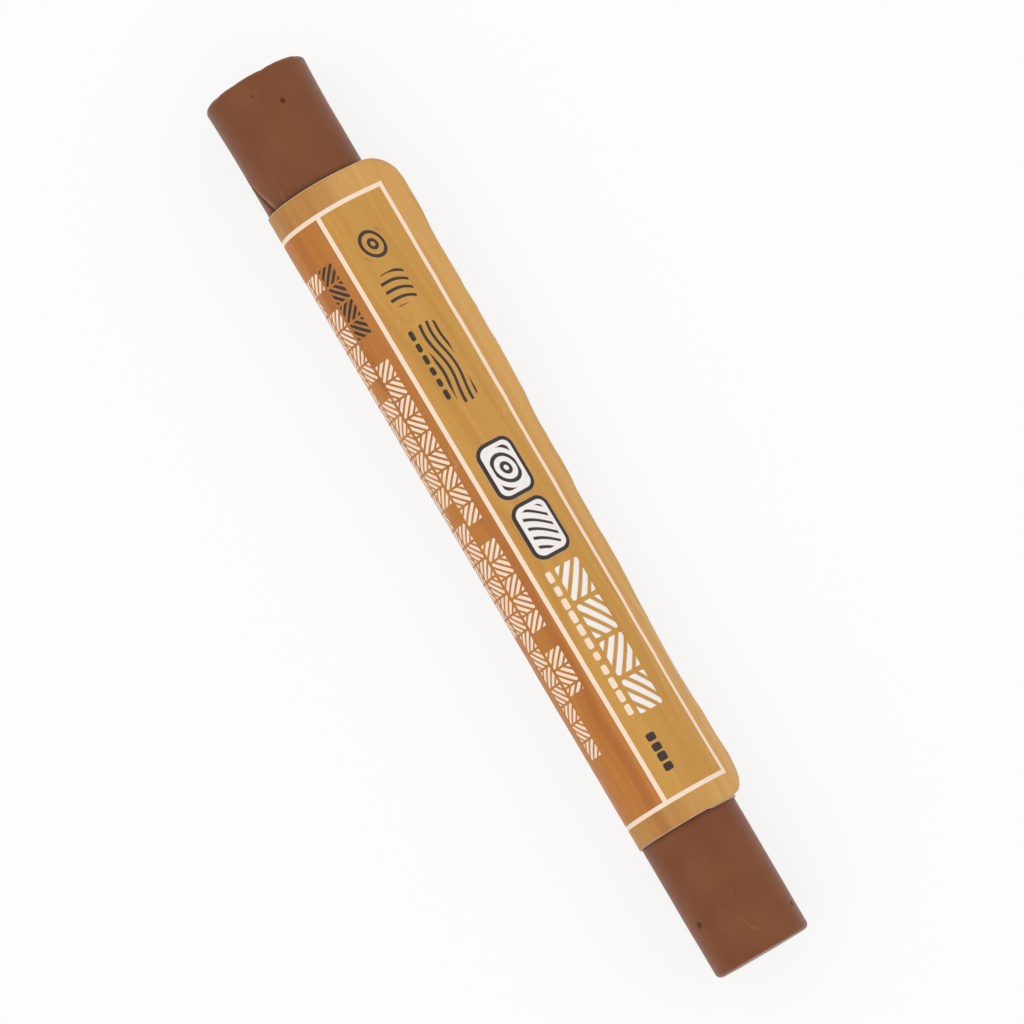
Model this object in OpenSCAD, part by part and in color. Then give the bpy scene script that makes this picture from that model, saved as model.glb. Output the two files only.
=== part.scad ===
// Wax repair stick for furniture: a cast stick of coloured wax in a printed paper label.
// The stick lies on its side along X. The middle of its pour face is the origin, +Z is up, and
// +Y is the side where the label's free edge has come loose.

/* [Wax stick] */
// Length of the stick
stick_len = 100; // [88:1:140]
// Diameter at the pour end, before its swelling
pour_end_d = 10.9; // [9.5:0.1:14]
// Diameter at the closed end of the mould
mould_end_d = 10.4; // [9:0.1:13.5]
// Length of the swollen stretch behind the pour face
swell_len = 7; // [3:0.5:10]
// Growth of the radius at the pour face
swell = 0.15; // [0.05:0.05:0.4]
// Radius of the edge that the wax leaves round the pour face as it sets
pour_edge_r = 0.6; // [0.2:0.1:1.2]
// Radius of the edge that the mould's closed end leaves
mould_edge_r = 0.6; // [0.3:0.1:2]

/* [Label] */
// Bare wax between the pour face and the label
label_start = 12.7; // [11:0.1:25]
// Width of the label along the stick
label_w = 72.5; // [40:0.5:80]
// Thickness of the paper
paper_t = 0.12; // [0.08:0.01:0.25]
// Radius of the label's four corners
corner_r = 3.4; // [0.5:0.1:3.9]
// Width of paper that is stuck down over the label's own start edge
overlap_w = 3.6; // [2:0.1:8]
// Width of paper that has come loose along the free edge
loose_w = 5.3; // [4:0.1:9]
// Radius of the loose paper's curl
curl_r = 14; // [8:0.5:40]
// Angle from the top of the stick to where the paper comes loose
lift_angle = 43; // [0:1:80]

/* [Adhesive] */
// Thickness of the adhesive film
film_t = 0.04; // [0.02:0.01:0.08]
// Distance by which the film stays inside the label's edges
film_setback = 0.3; // [0.1:0.05:0.8]

/* [Hidden] */
$fn = 128;

// Steps of the swollen stretch and of each rounded edge
swell_steps = 8;
edge_steps = 8;
// Distance by which a cut passes what it cuts
overrun = 1;
// Least gap between the label's turns where the second one passes over the start edge
turn_gap = 0.01;

pour_r = pour_end_d / 2;
mould_r = mould_end_d / 2;
label_end = label_start + label_w;
label_mid = (label_start + label_end) / 2;

// Radius of the mould's taper at the distance x from the pour face
function taper_r(x) = pour_r + (mould_r - pour_r) * x / stick_len;

// Angle that an arc of the given length covers at the given radius
function arc_deg(arc, r) = arc / r * 180 / PI;

// The label is a spiral of three arcs, and angles are counted from where the paper comes loose.
// The first arc lies on the wax, from the start edge to half a turn before that place. The second
// takes half a turn about a centre of its own, so that it climbs just enough to pass over the
// start edge. The third is the loose paper, which curls away about a centre beyond the stick.
half_turn = 180;
overlap_turn = arc_deg(overlap_w, taper_r(label_mid) + film_t + paper_t);
curl_turn = arc_deg(loose_w, curl_r);
climb_shift = (film_t + paper_t + turn_gap) / (1 + cos(overlap_turn));
climb = 2 * climb_shift;
curl_centre = taper_r(label_mid) + climb - curl_r;

// Turns a form that stands along Z so that it lies along X, with its own X pointing up
module lay_along_stick() {
    mirror([1, 0, -1]) children();
}

// Section of the stick, with the distance from the axis as X and the distance along it as Y
module stick_section() {
    pour_pts = [
        for (i = [0:edge_steps])
            let (a = 90 * i / edge_steps)
            [taper_r(pour_edge_r) + swell - pour_edge_r * (1 - sin(a)), pour_edge_r * (1 - cos(a))]
    ];
    swell_pts = [
        for (i = [1:swell_steps])
            let (share = i / swell_steps, x = pour_edge_r + (swell_len - pour_edge_r) * share)
            [taper_r(x) + swell * pow(1 - share, 2), x]
    ];
    edge_x = stick_len - mould_edge_r;
    mould_pts = [
        for (i = [0:edge_steps])
            let (a = 90 * i / edge_steps)
            [taper_r(edge_x) - mould_edge_r * (1 - cos(a)), edge_x + mould_edge_r * sin(a)]
    ];
    polygon(concat([[0, 0]], pour_pts, swell_pts, mould_pts, [[0, stick_len]]));
}

// Section of a strip that follows the taper at the given height over the wax
module strip_section(height, thick, setback) {
    x0 = label_start + setback;
    x1 = label_end - setback;
    polygon([
        [taper_r(x0) + height, x0],
        [taper_r(x0) + height + thick, x0],
        [taper_r(x1) + height + thick, x1],
        [taper_r(x1) + height, x1]
    ]);
}

// The same strip, turned by an angle about an axis that stands `centre` out from the stick's axis
module turned_strip(turn, height, thick, setback, centre = 0) {
    translate([centre, 0, 0])
        rotate_extrude(angle = turn)
            translate([-centre, 0]) strip_section(height, thick, setback);
}

// What lies outside the label's outline along one edge. X runs from the edge into the label and Y
// along the stick.
module edge_waste(setback) {
    r = corner_r - setback;
    w = label_w - 2 * setback;
    difference() {
        translate([-overrun, label_start - overrun])
            square([overrun + setback + r, label_w + 2 * overrun]);
        translate([setback, label_start + setback]) {
            translate([0, r]) square([r + overrun, w - 2 * r]);
            translate([r, r]) circle(r);
            translate([r, w - r]) circle(r);
        }
    }
}

// The same waste, upright on a strip that lies at the given radius. The label is on the side that
// `inward` gives, 1 for growing angles and -1 for falling ones.
module edge_cut(radius, setback, inward) {
    translate([radius, 0, 0])
        rotate([90, 0, 90])
            linear_extrude(2 * corner_r, center = true)
                mirror([inward > 0 ? 0 : 1, 0]) edge_waste(setback);
}

// First arc of the winding, with the start edge
module first_turn(height, thick, setback) {
    difference() {
        rotate([0, 0, half_turn])
            mirror([0, 1, 0]) turned_strip(half_turn + overlap_turn, height, thick, setback);
        rotate([0, 0, -overlap_turn]) edge_cut(taper_r(label_mid), setback, 1);
    }
}

// Second arc, which climbs over the start edge
module climbing_turn(height, thick, setback) {
    rotate([0, 0, half_turn]) turned_strip(half_turn, height, thick, setback, -climb_shift);
}

// Third arc, with the free edge
module loose_strip(height, thick, setback) {
    difference() {
        turned_strip(curl_turn, height, thick, setback, curl_centre);
        translate([curl_centre, 0, 0])
            rotate([0, 0, curl_turn]) edge_cut(curl_r, setback, -1);
    }
}

// The whole winding. It is used for the paper and for the film under it, which differ in height,
// thickness and setback.
module winding(height, thick, setback) {
    rotate([0, 0, lift_angle]) {
        first_turn(height, thick, setback);
        climbing_turn(height, thick, setback);
        loose_strip(height + climb, thick, setback);
    }
}

// Cast wax, with the mould's taper, a swollen pour end and a rounded edge at both ends
module wax_stick() {
    color("#8f5a3c")
        lay_along_stick()
            rotate_extrude() stick_section();
}

// Printed paper, wound once round the stick and on over its own start edge
module label() {
    color("#dba35b")
        lay_along_stick() winding(film_t, paper_t, 0);
}

// Adhesive film on the back of the paper
module label_adhesive() {
    color("#efe6cf")
        lay_along_stick() winding(0, film_t, film_setback);
}

wax_stick();
label();
label_adhesive();
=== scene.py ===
"""Looks of a cast wax repair stick, wrapped in a printed paper label.

The stick lies on its side along X. The middle of its pour face is the origin, +Z is up, and +Y is
the side where the label's free edge has come loose. Lengths are in metres. The print is laid out
in millimetres on the flat sheet: u runs along the stick from the label's pour end, and s runs
round it from the free edge.
"""

from __future__ import annotations

import functools
import logging
import math
from collections.abc import Mapping, Sequence
from dataclasses import dataclass, field
from enum import Enum
from typing import Any

import bpy
import numpy as np
from mathutils import Matrix, Vector

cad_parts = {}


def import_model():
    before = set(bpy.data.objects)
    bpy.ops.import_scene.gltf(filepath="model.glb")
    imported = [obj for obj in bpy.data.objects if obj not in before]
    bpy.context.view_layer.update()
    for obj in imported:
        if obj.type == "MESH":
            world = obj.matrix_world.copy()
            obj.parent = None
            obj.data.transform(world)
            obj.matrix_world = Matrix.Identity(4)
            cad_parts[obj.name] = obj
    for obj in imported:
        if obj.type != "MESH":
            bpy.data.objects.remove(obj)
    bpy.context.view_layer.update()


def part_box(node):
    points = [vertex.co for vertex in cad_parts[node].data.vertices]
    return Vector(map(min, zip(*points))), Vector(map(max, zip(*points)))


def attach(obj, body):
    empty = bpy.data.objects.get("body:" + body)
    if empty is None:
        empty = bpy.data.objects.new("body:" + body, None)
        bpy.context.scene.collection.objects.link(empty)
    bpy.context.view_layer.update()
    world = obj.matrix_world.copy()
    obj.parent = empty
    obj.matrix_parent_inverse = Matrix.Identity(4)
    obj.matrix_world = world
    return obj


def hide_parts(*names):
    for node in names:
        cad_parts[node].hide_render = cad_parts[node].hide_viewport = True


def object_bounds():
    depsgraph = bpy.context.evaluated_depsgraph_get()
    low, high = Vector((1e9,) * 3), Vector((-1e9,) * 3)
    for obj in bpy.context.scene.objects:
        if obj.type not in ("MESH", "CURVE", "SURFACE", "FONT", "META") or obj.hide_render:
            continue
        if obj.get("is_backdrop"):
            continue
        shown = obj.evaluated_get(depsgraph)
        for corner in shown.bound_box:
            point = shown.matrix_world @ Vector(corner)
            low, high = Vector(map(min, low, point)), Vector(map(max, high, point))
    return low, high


LOG = logging.getLogger("wax_stick")

MM = 0.001
BODY = "root"

# Names of the attributes that carry a surface's own coordinates, and the masks of the painted shade
# and painted highlight on its flaws, to its material
SHEET = "sheet"
FLAWS = "flaws"

WHITE = (1.0, 1.0, 1.0, 1.0)
Colour = tuple[float, float, float, float]


def srgb(red: int, green: int, blue: int) -> Colour:
    """Turns a screen colour into the linear colour that a shader takes.

    Args:
        red: Red, from 0 to 255.
        green: Green, from 0 to 255.
        blue: Blue, from 0 to 255.

    Returns:
        Linear red, green, blue and an alpha of 1.
    """

    def linear(value: int) -> float:
        """Undoes the screen's curve for one channel."""
        share = value / 255
        return share / 12.92 if share <= 0.04045 else ((share + 0.055) / 1.055) ** 2.4

    return (linear(red), linear(green), linear(blue), 1.0)


def feed(socket: bpy.types.NodeSocket, value: Any) -> None:
    """Gives a node's input a link or a fixed value.

    Args:
        socket: The input.
        value: A Field or an output socket to link, or a value to set.
    """
    if isinstance(value, Field):
        value = value.socket
    if isinstance(value, bpy.types.NodeSocket):
        socket.id_data.links.new(value, socket)
    else:
        socket.default_value = value


class Field:
    """A number that a node tree works out point by point, written as plain arithmetic."""

    def __init__(self, socket: bpy.types.NodeSocket) -> None:
        """Wraps the output socket that gives the number."""
        self.socket = socket

    def combine(self, operation: str, *others: Field | float) -> Field:
        """Adds a Math node that takes this number first.

        Args:
            operation: The node's operation, such as "ADD".
            *others: The other numbers, in order.

        Returns:
            The node's result.
        """
        node = self.socket.id_data.nodes.new("ShaderNodeMath")
        node.operation = operation
        for socket, value in zip(node.inputs, (self, *others)):
            feed(socket, value)
        return Field(node.outputs[0])

    def __add__(self, other: Field | float) -> Field:
        """Sum of two numbers."""
        return self.combine("ADD", other)

    def __sub__(self, other: Field | float) -> Field:
        """This number less the other."""
        return self.combine("SUBTRACT", other)

    def __rsub__(self, other: float) -> Field:
        """The other number less this one."""
        return self * -1.0 + other

    def __mul__(self, other: Field | float) -> Field:
        """Product of two numbers."""
        return self.combine("MULTIPLY", other)

    def __truediv__(self, other: Field | float) -> Field:
        """This number over the other."""
        return self.combine("DIVIDE", other)

    __radd__ = __add__
    __rmul__ = __mul__

    def greatest(self, other: Field | float) -> Field:
        """The larger of two numbers."""
        return self.combine("MAXIMUM", other)

    def least(self, other: Field | float) -> Field:
        """The smaller of two numbers."""
        return self.combine("MINIMUM", other)

    def size(self) -> Field:
        """The number without its sign."""
        return self.combine("ABSOLUTE")

    def root(self) -> Field:
        """Square root."""
        return self.combine("SQRT")

    def sine(self) -> Field:
        """Sine of an angle in radians."""
        return self.combine("SINE")

    def cosine(self) -> Field:
        """Cosine of an angle in radians."""
        return self.combine("COSINE")

    def bearing(self, other: Field) -> Field:
        """Angle in radians from the axis of the other number to that of this one."""
        return self.combine("ARCTAN2", other)

    def whole(self) -> Field:
        """The whole number at or below this one."""
        return self.combine("FLOOR")

    def rest(self) -> Field:
        """What is left over above the whole number."""
        return self.combine("FRACT")

    def below(self, other: Field | float) -> Field:
        """1 where this number is the smaller, and 0 elsewhere."""
        return self.combine("LESS_THAN", other)

    def smooth(self, low: Field | float, high: Field | float) -> Field:
        """Rises smoothly from 0 to 1.

        Args:
            low: Where the rise starts.
            high: Where it ends, above low.

        Returns:
            A number from 0 to 1.
        """
        node = self.socket.id_data.nodes.new("ShaderNodeMapRange")
        node.interpolation_type = "SMOOTHSTEP"
        feed(node.inputs["Value"], self)
        feed(node.inputs["From Min"], low)
        feed(node.inputs["From Max"], high)
        return Field(node.outputs["Result"])

    def blend(self, low: Field | float, high: Field | float) -> Field:
        """Goes from low to high as this number goes from 0 to 1."""
        return low + self * (high - low)

    def peak(self, reach: Field | float, top: Field | float = 0.0) -> Field:
        """Falls smoothly from 1 to 0.

        Args:
            reach: Where it has fallen to 0.
            top: Where the fall starts, below reach.

        Returns:
            A number from 0 to 1.
        """
        return 1.0 - self.smooth(top, reach)


class Kind(Enum):
    """Kinds of sockets on a node group."""

    NUMBER = "NodeSocketFloat"
    COUNT = "NodeSocketInt"
    VECTOR = "NodeSocketVector"
    SHAPE = "NodeSocketGeometry"
    FINISH = "NodeSocketMaterial"


@dataclass(frozen=True)
class Port:
    """One named socket of a node group."""

    name: str
    kind: Kind = Kind.NUMBER


class Graph:
    """A node tree under construction."""

    def __init__(self, tree: bpy.types.NodeTree) -> None:
        """Starts with an empty tree."""
        self.tree = tree
        tree.nodes.clear()

    def node(
        self, kind: str, inputs: Mapping[str | int, Any] | None = None, **settings: Any
    ) -> bpy.types.Node:
        """Adds a node.

        Args:
            kind: Blender's name for the node.
            inputs: What each input takes, by its name or number.
            **settings: The node's own settings.

        Returns:
            The node.
        """
        made = self.tree.nodes.new(kind)
        for name, value in settings.items():
            setattr(made, name, value)
        for name, value in (inputs or {}).items():
            feed(made.inputs[name], value)
        return made

    def field(
        self,
        kind: str,
        inputs: Mapping[str | int, Any] | None = None,
        out: str | int = 0,
        **settings: Any,
    ) -> Field:
        """Adds a node and gives one of its results.

        Args:
            kind: Blender's name for the node.
            inputs: What each input takes, by its name or number.
            out: Name or number of the result.
            **settings: The node's own settings.

        Returns:
            The result.
        """
        return Field(self.node(kind, inputs, **settings).outputs[out])

    def parts(self, vector: Field) -> tuple[Field, Field, Field]:
        """Splits a vector into its three numbers."""
        split = self.node("ShaderNodeSeparateXYZ", {0: vector})
        return Field(split.outputs[0]), Field(split.outputs[1]), Field(split.outputs[2])

    def vector(self, x: Field | float, y: Field | float, z: Field | float) -> Field:
        """Joins three numbers into a vector."""
        return self.field("ShaderNodeCombineXYZ", {0: x, 1: y, 2: z})

    def scaled(self, vector: Field, factors: Sequence[float]) -> Field:
        """Multiplies a vector's three numbers by three factors."""
        return self.field("ShaderNodeVectorMath", {0: vector, 1: factors}, operation="MULTIPLY")

    def noise(
        self, vector: Field, scale: Field | float, detail: float = 2.0, seed: Field | float = 0.0
    ) -> Field:
        """Adds soft noise.

        Args:
            vector: Where to look it up.
            scale: Waves for each unit of length.
            detail: How many finer layers it has.
            seed: Which of many patterns it is.

        Returns:
            A number from 0 to 1, mostly near the middle.
        """
        inputs = {"Vector": vector, "W": seed, "Scale": scale, "Detail": detail}
        return self.field("ShaderNodeTexNoise", inputs, noise_dimensions="4D")

    def mix(
        self, share: Field | float, low: Field | Colour, high: Field | Colour, way: str = "MIX"
    ) -> Field:
        """Mixes two colours.

        Args:
            share: 0 for the first colour and 1 for the second.
            low: The first colour.
            high: The second colour.
            way: Blender's name for the way of mixing.

        Returns:
            The mixed colour.
        """
        # Of the node's sockets, inputs 6 and 7 and output 2 are the ones for colours
        inputs = {0: share, 6: low, 7: high}
        return self.field("ShaderNodeMix", inputs, 2, data_type="RGBA", blend_type=way)

    def keep(self, geometry: Field, name: str, value: Field) -> Field:
        """Stores a vector on each point of a geometry.

        Args:
            geometry: The geometry.
            name: Name of the attribute.
            value: The vector.

        Returns:
            The geometry with the attribute.
        """
        settings = {"data_type": "FLOAT_VECTOR", "domain": "POINT"}
        inputs = {"Geometry": geometry, "Name": name}
        named = self.node("GeometryNodeStoreNamedAttribute", inputs, **settings)
        feed(named.inputs["Value"], value)
        return Field(named.outputs[0])

    def use(self, choice: GroupChoice, inputs: Mapping[str, Any]) -> list[Field]:
        """Places a shader node group.

        Args:
            choice: The group.
            inputs: What each of its inputs takes, by name.

        Returns:
            Its results, in order.
        """
        node = self.node("ShaderNodeGroup", node_tree=choice.group())
        for name, value in inputs.items():
            feed(node.inputs[name], value)
        return [Field(socket) for socket in node.outputs]


class Group(Graph):
    """A node group with named inputs and outputs."""

    def __init__(
        self, name: str, kind: str, inputs: Sequence[Port], outputs: Sequence[Port]
    ) -> None:
        """Makes the group's sockets.

        Args:
            name: Name of the group.
            kind: "ShaderNodeTree" or "GeometryNodeTree".
            inputs: Its inputs.
            outputs: Its outputs.
        """
        super().__init__(bpy.data.node_groups.new(name, kind))
        for direction, ports in (("INPUT", inputs), ("OUTPUT", outputs)):
            for port in ports:
                self.tree.interface.new_socket(
                    port.name, in_out=direction, socket_type=port.kind.value
                )
        self.entry = self.node("NodeGroupInput")
        self.exit = self.node("NodeGroupOutput")

    def port(self, name: str) -> Field:
        """One of the group's inputs."""
        return Field(self.entry.outputs[name])

    def give(self, name: str, value: Any) -> bpy.types.NodeTree:
        """Sends a value out of the group, and returns the group's tree."""
        feed(self.exit.inputs[name], value)
        return self.tree


class GroupChoice(Enum):
    """Node groups to choose from, each with the function that makes it."""

    def group(self) -> bpy.types.NodeTree:
        """Gives the node group, which is built the first time that it is asked for.

        Returns:
            The group.
        """
        if self.name not in bpy.data.node_groups:
            (build,) = self.value
            build().name = self.name
        return bpy.data.node_groups[self.name]


def grow(
    base: bpy.types.Object, tree: bpy.types.NodeTree, values: Mapping[str, Any]
) -> bpy.types.Object:
    """Runs a Geometry Nodes tree on an object and keeps what it makes as a plain mesh.

    Args:
        base: The object, whose mesh the tree starts from.
        tree: The tree.
        values: What each of its inputs takes, by name.

    Returns:
        The same object.
    """
    modifier = base.modifiers.new(tree.name, "NODES")
    modifier.node_group = tree
    for item in tree.interface.items_tree:
        if item.in_out == "INPUT" and item.name in values:
            modifier[item.identifier] = values[item.name]
    base.update_tag()
    depsgraph = bpy.context.evaluated_depsgraph_get()
    mesh = bpy.data.meshes.new_from_object(
        base.evaluated_get(depsgraph), preserve_all_data_layers=True, depsgraph=depsgraph
    )
    base.modifiers.clear()
    # Blender puts an empty slot first where the base has no finish of its own
    if mesh.materials[0] is None:
        mesh.materials.pop(index=0)
    mesh.name = base.name
    base.data = mesh
    return base


def new_object(name: str, mesh: bpy.types.Mesh | None = None) -> bpy.types.Object:
    """Puts a mesh object into the scene, at the origin.

    Args:
        name: Name of the object and of its mesh.
        mesh: The mesh, or None for an empty one.

    Returns:
        The object.
    """
    made = bpy.data.objects.new(name, mesh or bpy.data.meshes.new(name))
    bpy.context.scene.collection.objects.link(made)
    return made


@dataclass(frozen=True)
class Sizes:
    """Sizes that the wax, the label and its adhesive share."""

    length: float
    label_start: float
    label_width: float
    pour_radius: float = 5.45 * MM
    mould_radius: float = 5.2 * MM
    swell: float = 0.15 * MM
    swell_length: float = 7 * MM
    pour_edge: float = 0.6 * MM
    mould_edge: float = 0.6 * MM
    film: float = 0.04 * MM
    paper: float = 0.12 * MM
    turn_gap: float = 0.01 * MM
    overlap: float = 3.6 * MM
    loose: float = 5.3 * MM
    corner: float = 3.4 * MM
    lift_angle: float = math.radians(43)

    @classmethod
    def from_frame(cls) -> Sizes:
        """Reads the stick's length and the label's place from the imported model.

        Returns:
            The sizes.
        """
        wax_low, wax_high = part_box("wax_stick")
        label_low, label_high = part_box("label")
        return cls(wax_high.x - wax_low.x, label_low.x, label_high.x - label_low.x)

    @property
    def label_end(self) -> float:
        """Where the label ends, at the mould end."""
        return self.label_start + self.label_width

    @property
    def lay_radius(self) -> float:
        """Outer radius of the label's first turn, half-way along the label.

        Returns:
            The radius in metres.
        """
        share = (self.label_start + self.label_width / 2) / self.length
        wax_radius = self.pour_radius + (self.mould_radius - self.pour_radius) * share
        return wax_radius + self.film + self.paper

    @property
    def sheet_length(self) -> float:
        """Length of the flat label, round the stick."""
        return self.loose + 2 * math.pi * self.lay_radius + self.overlap

    @property
    def climb_shift(self) -> float:
        """How far the second turn's centre stands off the axis, to pass over the start edge."""
        overlap_angle = self.overlap / self.lay_radius
        return (self.film + self.paper + self.turn_gap) / (1 + math.cos(overlap_angle))


# Shader groups that more than one material uses


def surface_grain_group() -> bpy.types.NodeTree:
    """Fine unevenness of a surface: soft patches with a finer grain on them.

    Returns:
        A group with the inputs Vector, Patch Scale, Grain Scale and Grain Share, and the outputs
        Height and Patch, each from 0 to 1.
    """
    inputs = [
        Port("Vector", Kind.VECTOR),
        Port("Patch Scale"),
        Port("Grain Scale"),
        Port("Grain Share"),
    ]
    outputs = [Port("Height"), Port("Patch")]
    graph = Group("Surface Grain", "ShaderNodeTree", inputs, outputs)
    place = graph.port("Vector")
    patch = graph.noise(place, graph.port("Patch Scale"), detail=3.0, seed=1.0)
    grain = graph.noise(place, graph.port("Grain Scale"), detail=4.0, seed=2.0)
    graph.give("Patch", patch)
    return graph.give("Height", graph.port("Grain Share").blend(patch, grain))


def rub_marks_group() -> bpy.types.NodeTree:
    """Thin scattered scratches and rubbed spots from handling.

    Returns:
        A group with the inputs Vector, Scale, Width and Amount, and the output Mask. The vector is
        already stretched along the way that the marks run.
    """
    inputs = [Port("Vector", Kind.VECTOR), Port("Scale"), Port("Width"), Port("Amount")]
    graph = Group("Rub Marks", "ShaderNodeTree", inputs, [Port("Mask")])
    place, scale = graph.port("Vector"), graph.port("Scale")
    patch_share, fade = 0.31, 0.06
    line = graph.noise(place, scale, detail=1.0, seed=3.0)
    patch = graph.noise(place, scale * patch_share, seed=4.0)
    thin = (line - 0.5).size().peak(graph.port("Width"))
    start = 1.0 - graph.port("Amount")
    return graph.give("Mask", thin * patch.smooth(start, start + fade))


def printed_wood_group() -> bpy.types.NodeTree:
    """Wood-grain ground of the print: long pale streaks, and now and then a darker vein.

    Returns:
        A group with the input Sheet, in millimetres, and the outputs Streak and Vein.
    """
    outputs = [Port("Streak"), Port("Vein")]
    graph = Group("Printed Wood", "ShaderNodeTree", [Port("Sheet", Kind.VECTOR)], outputs)
    sheet = graph.port("Sheet")
    u, s, _ = graph.parts(sheet)

    # The grain runs nearly along the sheet, and drifts to and fro by a few millimetres. A pair of
    # factors gives waves for each millimetre, along the grain and across it.
    slant, drift_width = 0.035, 9.0
    drift = graph.noise(graph.scaled(sheet, (0.03, 0.06, 0.0)), 1.0, seed=5.0)
    across = s + u * slant + drift * drift_width
    flow = graph.vector(u, across, 0.0)
    streak = graph.noise(graph.scaled(flow, (0.022, 0.9, 0.0)), 1.0, detail=4.0, seed=6.0)
    pores = graph.noise(graph.scaled(flow, (0.16, 5.0, 0.0)), 1.0, seed=7.0)
    pore_share = 0.25
    pale = streak.smooth(0.3, 0.7) * (1.0 - pore_share) + pores.smooth(0.35, 0.75) * pore_share
    graph.give("Streak", pale)

    # A vein for each turn of the sine, where a slower noise lets it show
    vein_turn = 0.42
    line = (across * vein_turn).sine().smooth(0.93, 1.0)
    where = graph.noise(graph.scaled(sheet, (0.02, 0.12, 0.0)), 1.0, detail=1.0, seed=8.0)
    return graph.give("Vein", line * where.smooth(0.45, 0.65))


class Effect(GroupChoice):
    """Effects that the finishes share."""

    SURFACE_GRAIN = (surface_grain_group,)
    RUB_MARKS = (rub_marks_group,)
    PRINTED_WOOD = (printed_wood_group,)


# Marks of the print

MARK_PORTS = [
    Port("Sheet", Kind.VECTOR),
    Port("Middle U"),
    Port("Middle S"),
    Port("Half U"),
    Port("Half S"),
    Port("Corner"),
    Port("Pitch"),
    Port("Seed"),
]
# Half of the width in millimetres over which the ink's edge fades
INK_SPREAD = 0.035


@dataclass(frozen=True)
class Cell:
    """One cell of a row: its number, the distance from its middle, and what it draws at random."""

    number: Field
    at: Field
    draws: tuple[Field, Field, Field]


@dataclass(frozen=True)
class MarkFrame:
    """Coordinates inside one printed mark, in millimetres from its middle."""

    graph: Group
    u: Field
    s: Field

    @classmethod
    def start(cls) -> MarkFrame:
        """Starts the node group of a mark with the sockets that all marks share.

        Returns:
            The coordinates in it.
        """
        graph = Group("Mark", "ShaderNodeTree", MARK_PORTS, [Port("Mask")])
        u, s, _ = graph.parts(graph.port("Sheet"))
        return cls(graph, u - graph.port("Middle U"), s - graph.port("Middle S"))

    def box(self, u: Field, s: Field, half_u: Field, half_s: Field, corner: Field) -> Field:
        """Mask of a box with round corners.

        Args:
            u: Distance from the box's middle along the sheet.
            s: Distance from it across the sheet.
            half_u: Half of the box's length.
            half_s: Half of its height.
            corner: Radius of its corners.

        Returns:
            1 inside, 0 outside, with a soft edge as ink has.
        """
        over_u = (u.size() - half_u + corner).greatest(0.0)
        over_s = (s.size() - half_s + corner).greatest(0.0)
        distance = (over_u * over_u + over_s * over_s).root() - corner
        return distance.peak(INK_SPREAD, -INK_SPREAD)

    def whole_box(self) -> Field:
        """Mask of the mark's own box."""
        port = self.graph.port
        return self.box(self.u, self.s, port("Half U"), port("Half S"), port("Corner"))

    def cell(self) -> Cell:
        """Divides a row into cells of one pitch.

        Returns:
            The cell that a point lies in.
        """
        port = self.graph.port
        count = (self.u + port("Half U")) / port("Pitch")
        number = count.whole()
        where = {"Vector": self.graph.vector(number, port("Seed"), 0.0)}
        drawn = self.graph.field(
            "ShaderNodeTexWhiteNoise", where, "Color", noise_dimensions="3D"
        )
        return Cell(number, (count.rest() - 0.5) * port("Pitch"), self.graph.parts(drawn))

    def finish(self, mask: Field) -> bpy.types.NodeTree:
        """Ends the group with its mask, cut off at the mark's own box."""
        return self.graph.give("Mask", mask * self.whole_box())


def stripes(phase: Field, half: float, soft: float) -> Field:
    """Evenly spaced stripes.

    Args:
        phase: A number that grows by 1 from each stripe to the next.
        half: Half of a stripe's width, as a share of the spacing.
        soft: Half of the width over which its edge fades, as a share of the spacing.

    Returns:
        1 on a stripe and 0 between two.
    """
    return (phase.rest() - 0.5).size().peak(half + soft, half - soft)


@dataclass(frozen=True)
class WavyLines:
    """Lines side by side that bend alike, with their widths as shares of the pitch."""

    bend_turn: float
    bend_height: float
    lean: float
    half: float
    soft: float

    def draw(self, mark: MarkFrame, along: Field, across: Field) -> bpy.types.NodeTree:
        """Fills a mark with the lines.

        Args:
            mark: The mark.
            along: Distance along the lines.
            across: Distance across them.

        Returns:
            The mark's group.
        """
        port = mark.graph.port
        bend = (along * self.bend_turn + port("Seed")).sine() * self.bend_height
        phase = (across + bend + along * self.lean) / port("Pitch")
        return mark.finish(stripes(phase, self.half, self.soft))


def box_mark_group() -> bpy.types.NodeTree:
    """A plain box, for lines, plates and underlines."""
    mark = MarkFrame.start()
    return mark.graph.give("Mask", mark.whole_box())


def outline_mark_group() -> bpy.types.NodeTree:
    """The outline of a box, as thick as the pitch.

    Returns:
        The group.
    """
    mark = MarkFrame.start()
    port = mark.graph.port
    line = port("Pitch")
    corner = (port("Corner") - line).greatest(0.0)
    inside = mark.box(mark.u, mark.s, port("Half U") - line, port("Half S") - line, corner)
    return mark.finish(1.0 - inside)


def tile_row_group() -> bpy.types.NodeTree:
    """A herringbone of square tiles, striped one way and the other by turns, with few gaps.

    Returns:
        The group.
    """
    mark = MarkFrame.start()
    port = mark.graph.port
    half_share, kept_share, stripes_a_half = 0.44, 0.93, 1.125
    cell = mark.cell()
    half = port("Pitch") * half_share
    tile = mark.box(cell.at, mark.s, half, port("Half S"), port("Corner"))
    slope = mark.s / port("Half S")
    even = (cell.number * 0.5).rest().below(0.25)
    phase = (cell.at / half + even.blend(slope, slope * -1.0)) * stripes_a_half + 0.5
    kept = cell.draws[1].below(kept_share)
    return mark.finish(tile * stripes(phase, half=0.29, soft=0.07) * kept)


def bar_row_group() -> bpy.types.NodeTree:
    """A row of round-ended bars of uneven length.

    Returns:
        The group.
    """
    mark = MarkFrame.start()
    port = mark.graph.port
    least_share, largest_share, room_share = 0.26, 0.44, 0.46
    cell = mark.cell()
    half = port("Pitch") * cell.draws[0].blend(least_share, largest_share)
    shift = (port("Pitch") * room_share - half) * (cell.draws[1] - 0.5)
    return mark.finish(mark.box(cell.at - shift, mark.s, half, port("Half S"), port("Corner")))


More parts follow.
